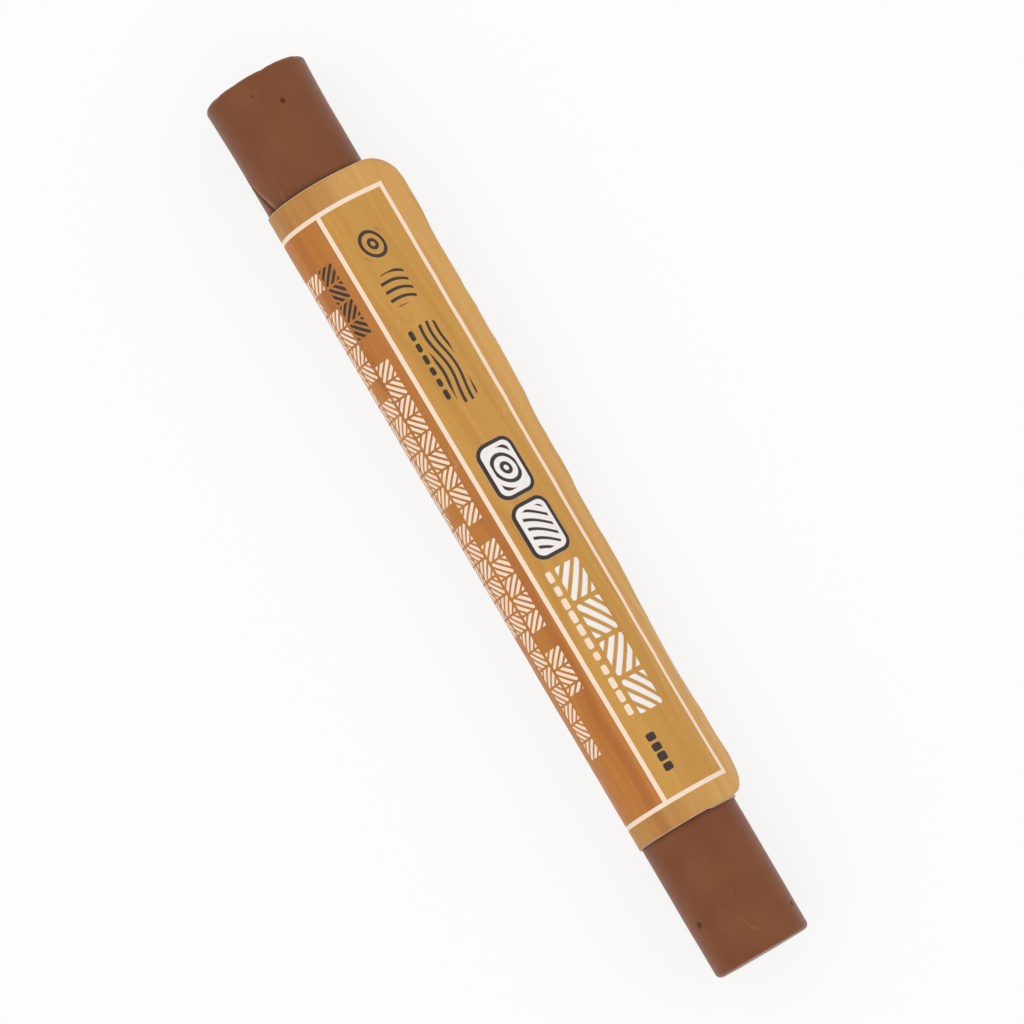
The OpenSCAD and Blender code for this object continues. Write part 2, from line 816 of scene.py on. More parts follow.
def ring_mark_group() -> bpy.types.NodeTree:
    """Growth rings as on the end of a log, slightly off round.

    Returns:
        The group.
    """
    mark = MarkFrame.start()
    flattening, slant = 1.25, 0.2
    stretched = mark.s * flattening + mark.u * slant
    distance = (mark.u * mark.u + stretched * stretched).root()
    return mark.finish(stripes(distance / mark.graph.port("Pitch"), half=0.21, soft=0.05))


def plank_mark_group() -> bpy.types.NodeTree:
    """Wavy lines across, as on the end of a plank.

    Returns:
        The group.
    """
    mark = MarkFrame.start()
    lines = WavyLines(bend_turn=0.9, bend_height=0.45, lean=0.35, half=0.17, soft=0.05)
    return lines.draw(mark, along=mark.s, across=mark.u)


def grain_mark_group() -> bpy.types.NodeTree:
    """Long wavy lines, as on the face of a plank.

    Returns:
        The group.
    """
    mark = MarkFrame.start()
    lines = WavyLines(bend_turn=0.85, bend_height=0.24, lean=0.03, half=0.2, soft=0.06)
    return lines.draw(mark, along=mark.u, across=mark.s)


class Mark(GroupChoice):
    """Shapes that the print is laid out from."""

    BOX = (box_mark_group,)
    OUTLINE = (outline_mark_group,)
    TILES = (tile_row_group,)
    BARS = (bar_row_group,)
    RINGS = (ring_mark_group,)
    PLANK = (plank_mark_group,)
    GRAIN = (grain_mark_group,)


class Ink(Enum):
    """The inks that are printed over the wood-grain ground, in printing order."""

    PALE = "pale"
    WHITE = "white"
    DARK = "dark"


@dataclass(frozen=True)
class Printed:
    """One printed mark, in millimetres on the flat sheet.

    It reaches from left to right along the sheet. Its middle and height are measured across it.
    """

    mark: Mark
    ink: Ink
    left: float
    right: float
    middle: float
    height: float
    corner: float = 0.08
    pitch: float = 1.0
    seed: float = 0.0

    def mask(self, graph: Graph, sheet: Field) -> Field:
        """Places the mark in a material.

        Args:
            graph: The material's nodes.
            sheet: Coordinates on the flat sheet.

        Returns:
            1 where there is ink.
        """
        values = {
            "Sheet": sheet,
            "Middle U": (self.left + self.right) / 2,
            "Middle S": self.middle,
            "Half U": (self.right - self.left) / 2,
            "Half S": self.height / 2,
            "Corner": self.corner,
            "Pitch": self.pitch,
            "Seed": self.seed,
        }
        return graph.use(self.mark, values)[0]


@dataclass(frozen=True)
class Panel:
    """One framed field of the print with a tint of its own, in millimetres on the flat sheet."""

    top: float
    bottom: float
    tint: Colour


@dataclass(frozen=True)
class LabelPrint:
    """Layout of the whole print: a ruled frame with three panels, each with plain marks."""

    left: float = 2.9
    right: float = 70.0
    rule: float = 0.46
    rule_corner: float = 0.04
    panels: tuple[Panel, ...] = (
        Panel(2.8, 10.45, srgb(205, 152, 70)),
        Panel(10.45, 24.1, srgb(192, 122, 45)),
        Panel(24.1, 31.15, srgb(198, 130, 54)),
    )

    def frame(self) -> list[Printed]:
        """Draws the ruled lines round the panels and between them.

        Returns:
            The lines.
        """
        box = functools.partial(Printed, Mark.BOX, Ink.PALE, corner=self.rule_corner)
        top, bottom = self.panels[0].top, self.panels[-1].bottom
        middle, half = (top + bottom) / 2, self.rule / 2
        left, right = self.left - half, self.right + half
        edges = [top, *(panel.bottom for panel in self.panels)]
        rows = [box(left, right, edge, self.rule) for edge in edges]
        ends = [box(x - half, x + half, middle, bottom - top) for x in (self.left, self.right)]
        return rows + ends

    def front(self) -> list[Printed]:
        """Draws the front panel: dark marks, two outlined badges, and tiles with bars under them.

        Returns:
            The marks.
        """
        middle, low = 7.1, 8.45
        dark_marks = [
            Printed(Mark.RINGS, Ink.DARK, 6.2, 9.8, middle, 3.0, 1.4, pitch=0.92),
            Printed(Mark.PLANK, Ink.DARK, 11.1, 14.8, middle, 2.8, 0.7, pitch=0.95, seed=2.0),
            Printed(Mark.GRAIN, Ink.DARK, 17.2, 26.2, 6.65, 2.4, 0.9, pitch=0.8, seed=1.0),
            Printed(Mark.BARS, Ink.DARK, 17.2, 25.3, low, 0.5, 0.22, pitch=1.35, seed=5.0),
        ]
        badges = [
            *self.badge(Mark.RINGS, 30.6, 36.8, middle, 1.0),
            *self.badge(Mark.PLANK, 37.4, 43.6, middle, 1.02),
        ]
        row = [
            Printed(Mark.TILES, Ink.WHITE, 44.4, 61.5, 6.8, 2.8, 0.25, pitch=4.275, seed=11.0),
            Printed(Mark.BARS, Ink.PALE, 44.5, 61.2, 8.95, 0.6, 0.22, pitch=1.5, seed=12.0),
            Printed(Mark.BARS, Ink.DARK, 63.1, 67.5, low, 0.95, 0.25, pitch=1.1, seed=13.0),
        ]
        return dark_marks + badges + row

    def badge(
        self, mark: Mark, left: float, right: float, middle: float, pitch: float
    ) -> list[Printed]:
        """A pale badge with a dark outline and a dark figure in it.

        Args:
            mark: The figure.
            left: Start of the badge along the sheet.
            right: End of the badge.
            middle: Its middle across the sheet.
            pitch: Spacing of the figure's lines.

        Returns:
            The badge's marks.
        """
        height, corner, outline = 4.3, 1.3, 0.42
        inset, inner_corner, seed = 0.85, 0.7, 0.6
        start, end, inner = left + inset, right - inset, height - 2 * inset
        return [
            Printed(Mark.BOX, Ink.WHITE, left, right, middle, height, corner),
            Printed(Mark.OUTLINE, Ink.DARK, left, right, middle, height, corner, outline),
            Printed(mark, Ink.DARK, start, end, middle, inner, inner_corner, pitch, seed),
        ]

    def rows(self) -> list[Printed]:
        """Draws the middle panel: three rows of tiles, then three of finer bars.

        Returns:
            The marks.
        """
        tiles = functools.partial(Printed, Mark.TILES, height=1.85, corner=0.15, pitch=2.05)
        bars = functools.partial(Printed, Mark.BARS, height=0.75, corner=0.3, pitch=2.3)
        start = 7.35
        return [
            tiles(Ink.DARK, start, 15.6, 12.55, seed=21.0),
            tiles(Ink.PALE, 18.4, 56.2, 12.55, seed=22.0),
            tiles(Ink.PALE, start, 62.7, 14.75, seed=23.0),
            tiles(Ink.PALE, start, 49.7, 16.95, seed=24.0),
            bars(Ink.DARK, start, 21.7, 19.2, seed=25.0),
            bars(Ink.PALE, 21.9, 60.6, 19.2, seed=26.0),
            bars(Ink.PALE, start, 59.6, 20.75, seed=27.0),
            bars(Ink.PALE, start, 51.1, 22.3, seed=28.0),
        ]

    def back(self) -> list[Printed]:
        """Draws the back panel: two dark marks, each with a line to write on, and three rows.

        Returns:
            The marks.
        """
        tiles = functools.partial(Printed, Mark.TILES, corner=0.15)
        line = functools.partial(Printed, Mark.BOX, Ink.PALE, corner=0.05)
        bars = functools.partial(Printed, Mark.BARS, Ink.PALE)
        level, line_level = 29.3, 30.05
        return [
            tiles(Ink.DARK, 4.3, 9.6, level, 1.55, pitch=2.0, seed=31.0),
            line(11.4, 22.2, line_level, 0.16),
            tiles(Ink.DARK, 23.1, 28.4, level, 1.55, pitch=2.0, seed=32.0),
            line(30.3, 40.8, line_level, 0.16),
            tiles(Ink.PALE, 43.2, 68.2, 26.2, 1.3, pitch=1.6, seed=33.0),
            bars(43.2, 65.4, 28.0, 0.65, corner=0.25, pitch=1.7, seed=34.0),
            bars(43.2, 68.2, 29.75, 0.9, corner=0.3, pitch=2.2, seed=35.0),
        ]

    def mask(self, ink: Ink, graph: Graph, sheet: Field) -> Field:
        """Places every mark of one ink in a material.

        Args:
            ink: The ink.
            graph: The material's nodes.
            sheet: Coordinates on the flat sheet.

        Returns:
            1 where that ink is printed.
        """
        marks = [*self.frame(), *self.front(), *self.rows(), *self.back()]
        masks = [item.mask(graph, sheet) for item in marks if item.ink is ink]
        return functools.reduce(Field.greatest, masks)


# Finishes


@dataclass(frozen=True)
class Grain:
    """Fine unevenness: waves of its patches and of its grain for each unit, and the grain's share."""

    patch_scale: float
    grain_scale: float
    grain_share: float


@dataclass(frozen=True)
class Rubs:
    """Look of scattered scratches. They run along the axis whose factor in squash is below 1."""

    scale: float
    width: float
    amount: float
    squash: tuple[float, float, float]


@dataclass
class Finish:
    """A material under construction: its nodes, its surface shader and its output."""

    name: str
    material: bpy.types.Material = field(init=False)
    graph: Graph = field(init=False)
    surface: bpy.types.Node = field(init=False)
    end: bpy.types.Node = field(init=False)

    def __post_init__(self) -> None:
        """Makes the material with one surface shader."""
        self.material = bpy.data.materials.new(self.name)
        self.material.use_nodes = True
        self.graph = Graph(self.material.node_tree)
        self.surface = self.graph.node("ShaderNodeBsdfPrincipled")
        self.end = self.graph.node("ShaderNodeOutputMaterial", {"Surface": self.surface.outputs[0]})

    def object_place(self) -> Field:
        """Coordinates of the object, in metres."""
        return self.graph.field("ShaderNodeTexCoord", out="Object")

    def attribute(self, name: str) -> Field:
        """A vector that the surface carries by itself."""
        return self.graph.field("ShaderNodeAttribute", out="Vector", attribute_name=name)

    def grain(self, vector: Field, grain: Grain) -> list[Field]:
        """Adds fine unevenness.

        Args:
            vector: Coordinates to look it up in.
            grain: Its scales.

        Returns:
            The height, and the patches that it lies on.
        """
        inputs = {
            "Vector": vector,
            "Patch Scale": grain.patch_scale,
            "Grain Scale": grain.grain_scale,
            "Grain Share": grain.grain_share,
        }
        return self.graph.use(Effect.SURFACE_GRAIN, inputs)

    def rubs(self, vector: Field, rubs: Rubs) -> Field:
        """Adds scattered scratches.

        Args:
            vector: Coordinates to look them up in.
            rubs: Their look.

        Returns:
            1 on a scratch.
        """
        inputs = {
            "Vector": self.graph.scaled(vector, rubs.squash),
            "Scale": rubs.scale,
            "Width": rubs.width,
            "Amount": rubs.amount,
        }
        return self.graph.use(Effect.RUB_MARKS, inputs)[0]

    def set(self, **values: Any) -> None:
        """Sets inputs of the shader, written with underscores for spaces."""
        for name, value in values.items():
            feed(self.surface.inputs[name.replace("_", " ")], value)

    def relief(self, height: Field, depth: float) -> None:
        """Roughens the surface by a small relief.

        Args:
            height: The relief, from 0 to 1.
            depth: Its full height in metres.
        """
        inputs = {"Strength": 1.0, "Distance": depth, "Height": height}
        feed(self.surface.inputs["Normal"], self.graph.field("ShaderNodeBump", inputs, "Normal"))


@dataclass(frozen=True)
class CastWax:
    """Brown wax as it comes from the mould: satin, faintly mottled, pitted and rubbed."""

    body: Colour = srgb(127, 74, 42)
    deep: Colour = srgb(120, 67, 36)
    # Pale colour of rubbed wax on the scratches, which also serves as a painted highlight on the
    # scrape's lip
    pale_wear_and_highlight: Colour = srgb(160, 112, 82)
    # Painted shade: the dark colour put into the pits and the scrape, and into the band beside the
    # label's edges
    painted_shade: Colour = srgb(44, 24, 16)
    grain: Grain = Grain(190.0, 1500.0, 0.45)
    rubs: Rubs = Rubs(900.0, 0.02, 0.42, (0.22, 1.0, 1.0))
    rub_share: float = 0.4
    rub_depth: float = 0.25
    rub_dulling: float = 0.12
    lip_highlight_share: float = 0.7
    hollow_shade_share: float = 0.85
    # Painted shadow: a dark band on the wax beside each edge of the label, standing in for the shade
    # of the paper's edge
    edge_shadow_width: float = 0.9 * MM
    edge_shadow_share: float = 0.62
    roughness: tuple[float, float] = (0.42, 0.56)
    relief: float = 0.035 * MM

    def build(self, sizes: Sizes) -> bpy.types.Material:
        """Makes the material.

        Args:
            sizes: Sizes of the stick, which say where a painted shadow darkens the wax along the
                label's edges.

        Returns:
            The material.
        """
        made = Finish("cast_wax")
        graph, place = made.graph, made.object_place()
        height, patch = made.grain(place, self.grain)
        rubs = made.rubs(place, self.rubs)
        hollow, lip, _ = graph.parts(made.attribute(FLAWS))
        x, _, _ = graph.parts(place)
        # Painted shadow on the wax in a narrow band just beyond each end of the label
        beyond = (x - (sizes.label_start + sizes.label_end) / 2).size() - sizes.label_width / 2
        edge_shadow = (beyond + height * self.edge_shadow_width * 0.5).peak(self.edge_shadow_width)
        colour = graph.mix(patch.smooth(0.35, 0.68), self.deep, self.body)
        colour = graph.mix(rubs * self.rub_share, colour, self.pale_wear_and_highlight)
        # Painted highlight along the raised lip of the scrape
        colour = graph.mix(lip * self.lip_highlight_share, colour, self.pale_wear_and_highlight)
        # Painted shade in the pits and in the scrape
        colour = graph.mix(hollow * self.hollow_shade_share, colour, self.painted_shade)
        satin = height.smooth(0.25, 0.75).blend(*self.roughness)
        made.set(
            # The painted shadow beside the label's edges is mixed in last
            Base_Color=graph.mix(edge_shadow * self.edge_shadow_share, colour, self.painted_shade),
            Roughness=satin + rubs * self.rub_dulling,
            Subsurface_Weight=0.08,
            Subsurface_Scale=0.6 * MM,
            Subsurface_Radius=(1.0, 0.45, 0.3),
            Specular_IOR_Level=0.22,
            Sheen_Weight=0.16,
            Sheen_Roughness=0.35,
        )
        made.relief(height - rubs * self.rub_depth, self.relief)
        return made.material


@dataclass(frozen=True)
class PrintedPaper:
    """Satin paper, printed with a wood grain and with the label's marks."""

    margin: Colour = srgb(216, 165, 92)
    deep_margin: Colour = srgb(191, 136, 68)
    margin_turn: tuple[float, float] = (5.5, 10.5)
    streak: Colour = (0.84, 0.76, 0.62, 1.0)
    vein: Colour = (0.74, 0.6, 0.45, 1.0)
    vein_share: float = 0.7
    worn: Colour = srgb(236, 208, 170)
    rim_worn: float = 0.064
    rim_reach: float = 0.21
    rim_fray: float = 0.1
    rim_share: float = 0.55
    grain: Grain = Grain(0.35, 2.6, 0.6)
    rubs: Rubs = Rubs(0.9, 0.018, 0.4, (0.3, 1.0, 1.0))
    rub_share: float = 0.18
    rub_dulling: float = 0.1
    roughness: tuple[float, float] = (0.4, 0.52)
    ink_gloss: float = 0.06
    relief: float = 0.016 * MM
    inks: Mapping[Ink, Colour] = field(
        default_factory=lambda: {
            Ink.PALE: srgb(249, 224, 200),
            Ink.WHITE: srgb(244, 238, 234),
            Ink.DARK: srgb(50, 38, 33),
        }
    )
    layout: LabelPrint = LabelPrint()

    def build(self) -> bpy.types.Material:
        """Makes the material.

        Returns:
            The material.
        """
        made = Finish("printed_paper")
        graph, sheet = made.graph, made.attribute(SHEET)
        colour, ink = self.inked(graph, sheet, self.ground(graph, sheet))
        fibre, _ = made.grain(sheet, self.grain)
        rubs = made.rubs(sheet, self.rubs)
        _, _, from_rim = graph.parts(sheet)
        rim = (from_rim + fibre * self.rim_fray).peak(self.rim_reach, self.rim_worn)
        worn = (rim * self.rim_share).greatest(rubs * (1.0 - ink) * self.rub_share)
        satin = fibre.smooth(0.3, 0.7).blend(*self.roughness)
        made.set(
            Base_Color=graph.mix(worn, colour, self.worn),
            Roughness=satin - ink * self.ink_gloss + rubs * self.rub_dulling,
            Specular_IOR_Level=0.35,
        )
        made.relief(fibre, self.relief)
        return made.material

    def ground(self, graph: Graph, sheet: Field) -> Field:
        """Colour of the wood-grain ground, with each panel's tint.

        Args:
            graph: The material's nodes.
            sheet: Coordinates on the flat sheet.

        Returns:
            The colour.
        """
        layout = self.layout
        _, s, _ = graph.parts(sheet)
        colour = graph.mix(s.smooth(*self.margin_turn), self.margin, self.deep_margin)
        for panel in layout.panels:
            middle, height = (panel.top + panel.bottom) / 2, panel.bottom - panel.top
            area = Printed(Mark.BOX, Ink.PALE, layout.left, layout.right, middle, height)
            colour = graph.mix(area.mask(graph, sheet), colour, panel.tint)
        streak, vein = graph.use(Effect.PRINTED_WOOD, {"Sheet": sheet})
        shade = graph.mix(streak, WHITE, self.streak)
        shade = graph.mix(vein * self.vein_share, shade, self.vein)
        return graph.mix(1.0, colour, shade, "MULTIPLY")

    def inked(self, graph: Graph, sheet: Field, ground: Field) -> tuple[Field, Field]:
        """Prints the marks over the ground.

        Args:
            graph: The material's nodes.
            sheet: Coordinates on the flat sheet.
            ground: Colour under the ink.

        Returns:
            The printed colour, and a mask of where there is ink.
        """
        colour, masks = ground, []
        for ink in Ink:
            masks.append(self.layout.mask(ink, graph, sheet))
            colour = graph.mix(masks[-1], colour, self.inks[ink])
        return colour, functools.reduce(Field.greatest, masks)


@dataclass(frozen=True)
class BarePaper:
    """Unprinted paper, as the cut edge and the back show it."""

    name: str
    body: Colour
    shade: Colour
    grain: Grain = Grain(0.5, 6.0, 0.7)
    roughness: tuple[float, float] = (0.62, 0.72)
    relief: float = 0.02 * MM

    def build(self) -> bpy.types.Material:
        """Makes the material.

        Returns:
            The material.
        """
        made = Finish(self.name)
        fibre, _ = made.grain(made.attribute(SHEET), self.grain)
        made.set(
            Base_Color=made.graph.mix(fibre.smooth(0.3, 0.7), self.shade, self.body),
            Roughness=fibre.blend(*self.roughness),
            Specular_IOR_Level=0.25,
        )
        made.relief(fibre, self.relief)
        return made.material


@dataclass(frozen=True)
class DriedAdhesive:
    """Cream film of dried adhesive, glossy where it was smooth and dull where it took up dust."""

    body: Colour = srgb(229, 218, 190)
    dusty: Colour = srgb(205, 190, 158)
    grain: Grain = Grain(0.4, 3.0, 0.5)
    roughness: tuple[float, float] = (0.28, 0.58)
    relief: float = 0.03 * MM

    def build(self) -> bpy.types.Material:
        """Makes the material.

        Returns:
            The material.
        """
        made = Finish("dried_adhesive")
        height, patch = made.grain(made.attribute(SHEET), self.grain)
        dust = patch.smooth(0.42, 0.62)
        made.set(
            Base_Color=made.graph.mix(dust, self.body, self.dusty),
            Roughness=dust.blend(*self.roughness),
        )
        made.relief(height, self.relief)
        return made.material


@dataclass(frozen=True)
class PaleFloor:
    """Plain pale floor, which the camera sees nearly white and which keeps a soft shadow."""

    body: Colour = srgb(242, 242, 240)
    shade: Colour = srgb(225, 225, 222)
    shade_share: float = 0.04
    grain: Grain = Grain(4.0, 600.0, 0.5)
    roughness: float = 0.7
    shine_through: float = 0.82

    def build(self) -> bpy.types.Material:
        """Makes the material.

        Returns:
            The material.
        """
        made = Finish("pale_floor")
        graph = made.graph
        height, _ = made.grain(made.object_place(), self.grain)
        colour = graph.mix(height * self.shade_share, self.body, self.shade)
        made.set(Base_Color=colour, Roughness=self.roughness)
        glow = graph.node("ShaderNodeEmission", {"Color": WHITE, "Strength": 1.0})
        inputs = {
            0: seen_directly(graph) * self.shine_through,
            1: made.surface.outputs[0],
            2: glow.outputs[0],
        }
        mixed = graph.node("ShaderNodeMixShader", inputs)
        feed(made.end.inputs["Surface"], mixed.outputs[0])
        return made.material


def seen_directly(graph: Graph) -> Field:
    """Tells rays that show a surface from rays that light the object.

    Args:
        graph: Nodes of a material or of the world.

    Returns:
        1 for what the camera, a reflection or a clear piece shows.
    """
    path = graph.node("ShaderNodeLightPath")
    rays = ("Is Camera Ray", "Is Glossy Ray", "Is Transmission Ray")
    return functools.reduce(Field.greatest, [Field(path.outputs[ray]) for ray in rays])


# Geometry Nodes trees

# Angles round the stick between which the wrinkles fade, where a second layer covers the first
WRINKLES_FADE = 5.4
WRINKLES_END = 6.0
# Least share of its curl that the loose strip keeps. With no curl at all, its arc has no radius.
LEAST_CURL_SHARE = 0.02
# Points of the sheet's two sides that are this near are one
MERGE_DISTANCE = 0.001 * MM


@dataclass(frozen=True)
class FlatPlace:
    """Where the label's points lie while the sheet is flat, in metres.

    u runs along the stick from the sheet's pour end, s round it from the free edge, and from_rim
    is the distance from the nearest edge.
    """

    u: Field
    s: Field
    from_rim: Field


def flat_place(graph: Group) -> FlatPlace:
    """Spreads a square grid over the flat sheet and draws in its round corners.

    Args:
        graph: The winding tree. The grid has a side of 1 and the origin as its middle.

    Returns:
        The places of the grid's points.
    """
    port = graph.port
    column, row, _ = graph.parts(graph.field("GeometryNodeInputPosition"))
    width = port("Sheet Width") - port("Setback") * 2.0
    length = port("Sheet Length") - port("Setback") * 2.0
    corner = port("Corner Radius") - port("Setback")
    share = row + 0.5
    from_ends = share.least(1.0 - share) * length
    reach = (corner - from_ends).greatest(0.0)
    inset = corner - (corner * corner - reach * reach).greatest(0.0).root()
    u = port("Setback") + inset + (width - inset * 2.0) * (column + 0.5)
    s = port("Setback") + length * share
    from_sides = (0.5 - column.size()) * (width - inset * 2.0)
    return FlatPlace(u, s, from_sides.least(from_ends))


def wound_place(graph: Group, flat: FlatPlace) -> Field:
    """Lays the flat sheet round the stick.

    Args:
        graph: The winding tree.
        flat: The flat places of the sheet's points.

    Returns:
        Their places on the stick, as a vector.
    """
    port = graph.port
    u, s = flat.u, flat.s

    # Place along the stick, and how near it is to the pour end
    x = port("Label Start") + u + port("Slope") * (s - port("Loose Width"))
    wax_radius = (x / port("Stick Length")).blend(port("Pour Radius"), port("Mould Radius"))
    lay_radius = wax_radius + port("Lay Height")
    early = u.peak(port("Early Length"))

    # Angles of the wound stretch and of the loose one
    lift_s = port("Loose Width") + port("Early Lift") * early * lay_radius
    wound = (s.greatest(lift_s) - port("Loose Width")) / lay_radius
    free = (lift_s - s).greatest(0.0)
    theta = port("Lift Angle") + port("Turn") * (u - port("Sheet Width") * 0.5) - wound
    along = graph.vector(u, 0.0, 0.0)
    wave = graph.noise(along, port("Ripple Waves"), seed=port("Ripple Seed")) - 0.5
    curl_share = 1.0 - port("Flattening") * early + port("Ripple") * wave
    curl = port("Curl") * curl_share.greatest(LEAST_CURL_SHARE)
    psi = theta + curl * free

    # Height over the wax, with soft wrinkles that grow on the loose strip
    radius = wax_radius + port("Climb Shift") * (wound.least(math.pi).cosine() + 1.0)
    across = graph.vector(u, s, 0.0)
    soft = graph.noise(across, port("Wrinkle Waves"), seed=port("Seed") + 1.0).smooth(0.42, 0.75)
    shown = wound.peak(WRINKLES_END, WRINKLES_FADE)
    growth = 1.0 + free / port("Loose Width") * port("Wrinkle Growth")
    rise = port("Height") + port("Wrinkle") * soft * shown * growth
    y = radius * theta.sine() + (psi.sine() - theta.sine()) / curl + rise * psi.sine()
    z = radius * theta.cosine() + (psi.cosine() - theta.cosine()) / curl + rise * psi.cosine()
    return graph.vector(x, y, z)


def thick_sheet(graph: Group, sheet: Field) -> Field:
    """Gives the sheet its thickness, a closed rim and its three finishes.

    Args:
        graph: The winding tree.
        sheet: The sheet, whose faces look towards the wax.

    Returns:
        The closed sheet.
    """
    port = graph.port
    # A copy is turned over and raised to make the printed side
    turned = graph.field("GeometryNodeFlipFaces", {"Mesh": sheet})
    thickness = {"Mesh": turned, "Offset Scale": port("Thickness"), "Individual": False}
    raised = graph.node("GeometryNodeExtrudeMesh", thickness, mode="FACES")
    joined = graph.node("GeometryNodeJoinGeometry")
    feed(joined.inputs[0], raised.outputs["Mesh"])
    feed(joined.inputs[0], sheet)
    seam = {"Geometry": joined.outputs[0], "Distance": MERGE_DISTANCE}
    closed = graph.field("GeometryNodeMergeByDistance", seam)
    side = raised.outputs["Side"]
    flats = graph.field("FunctionNodeBooleanMath", {0: side}, operation="NOT")
    smooth = graph.field("GeometryNodeSetShadeSmooth", {"Geometry": closed, "Shade Smooth": flats})
    result = graph.field("GeometryNodeRealizeInstances", {"Geometry": smooth})
    for finish, selection in (("Back", True), ("Face", raised.outputs["Top"]), ("Edge", side)):
        dressed = {"Geometry": result, "Selection": selection, "Material": port(finish)}
        result = graph.field("GeometryNodeSetMaterial", dressed)
    return result


def winding_tree() -> bpy.types.NodeTree:
    """Tree that lays a flat sheet with round corners round the stick and gives it a thickness.

    The sheet follows a spiral. It lies on the wax for its first turn, climbs over its own start
    edge in the last half turn, and leaves the stick along the free edge, where it keeps a weaker
    curl. Near the pour end it leaves earlier and is flatter, and slow ripples bend it all along.

    Returns:
        The tree. Its inputs are in metres, radians, and radians or waves for each metre.
    """
    numbers = [
        "Stick Length", "Pour Radius", "Mould Radius", "Label Start", "Sheet Width",
        "Sheet Length", "Corner Radius", "Setback", "Height", "Thickness", "Lay Height",
        "Climb Shift", "Loose Width", "Lift Angle", "Early Lift", "Early Length", "Curl",
        "Flattening", "Ripple", "Ripple Waves", "Ripple Seed", "Wrinkle", "Wrinkle Waves",
        "Wrinkle Growth", "Slope", "Turn", "Seed",
    ]
    ports = [
        Port("Geometry", Kind.SHAPE),
        *(Port(name) for name in numbers),
        Port("Columns", Kind.COUNT),
        Port("Rows", Kind.COUNT),
        Port("Face", Kind.FINISH),
        Port("Edge", Kind.FINISH),
        Port("Back", Kind.FINISH),
    ]
    graph = Group("Winding", "GeometryNodeTree", ports, [Port("Geometry", Kind.SHAPE)])
    counts = {"Vertices X": graph.port("Columns"), "Vertices Y": graph.port("Rows")}
    grid = graph.field("GeometryNodeMeshGrid", {"Size X": 1.0, "Size Y": 1.0, **counts})

    # The flat place is stored, in millimetres, before the points move, because it is worked out
    # from where they are
    flat = flat_place(graph)
    rim = (flat.from_rim / MM).least(1.0)
    named = graph.keep(grid, SHEET, graph.vector(flat.u / MM, flat.s / MM, rim))
    moved = {"Geometry": named, "Position": wound_place(graph, flat)}
    sheet = graph.field("GeometryNodeSetPosition", moved)
    return graph.give("Geometry", thick_sheet(graph, sheet))


def scattered_pits(graph: Group, place: Field) -> tuple[Field, Field]:
    """Scatters pits near both ends of the stick.

    Args:
        graph: The cast surface tree.
        place: Place of each point.

    Returns:
        How far a point lies into its nearest pit, from 0 to 1, and that pit's radius.
    """
    port = graph.port
    x, _, _ = graph.parts(place)
    inputs = {
        "Mesh": port("Geometry"),
        "Selection": x.least(port("Stick Length") - x).below(port("Pit Zone")),
        "Density": port("Pits Per Area"),
        "Seed": port("Seed"),
    }
    spread = "GeometryNodeDistributePointsOnFaces"
    points = graph.field(spread, inputs, distribute_method="RANDOM")
    sample = {"Geometry": points, "Sample Position": place}
    nearest = graph.field("GeometryNodeSampleNearest", sample, domain="POINT")
    limits = {"Min": port("Least Pit"), "Max": port("Largest Pit")}
    draw = {**limits, "ID": nearest, "Seed": port("Seed")}
    radius = graph.field("FunctionNodeRandomValue", draw, 1, data_type="FLOAT")
    found = {"Geometry": points, "Value": place, "Index": nearest}
    centre = graph.field("GeometryNodeSampleIndex", found, data_type="FLOAT_VECTOR")
    both = {0: place, 1: centre}
    distance = graph.field("ShaderNodeVectorMath", both, "Value", operation="DISTANCE")
    return (distance / radius).peak(1.0, 0.25), radius


def slanting_scrape(graph: Group, place: Field) -> tuple[Field, Field]:
    """Cuts one slanting scrape into the unrolled side of the stick, with a lip beside it.

    Args:
        graph: The cast surface tree.
        place: Place of each point.

    Returns:
        How far a point lies into the scrape and onto the lip, each from 0 to 1.
    """
    port = graph.port
    x, y, z = graph.parts(place)
    run = x - port("Scrape Place")
    arc = (y.bearing(z) - port("Scrape Bearing")) * port("Pour Radius")
    slant, half_width = port("Scrape Slant"), port("Scrape Half Width")
    wander_share, lip_place = 1.2, 1.7
    fine = graph.noise(place, port("Scrape Waves"), seed=3.0) - 0.5
    along = (run * slant.cosine() + arc * slant.sine()).size() / port("Scrape Half Length")
    off = arc * slant.cosine() - run * slant.sine() + fine * half_width * wander_share
    across = off / half_width
    reach = along.peak(1.0, 0.55)
    scrape = reach * across.size().peak(1.0, 0.1)
    lip = reach * (across - lip_place).size().peak(1.1, 0.2)
    return scrape, lip


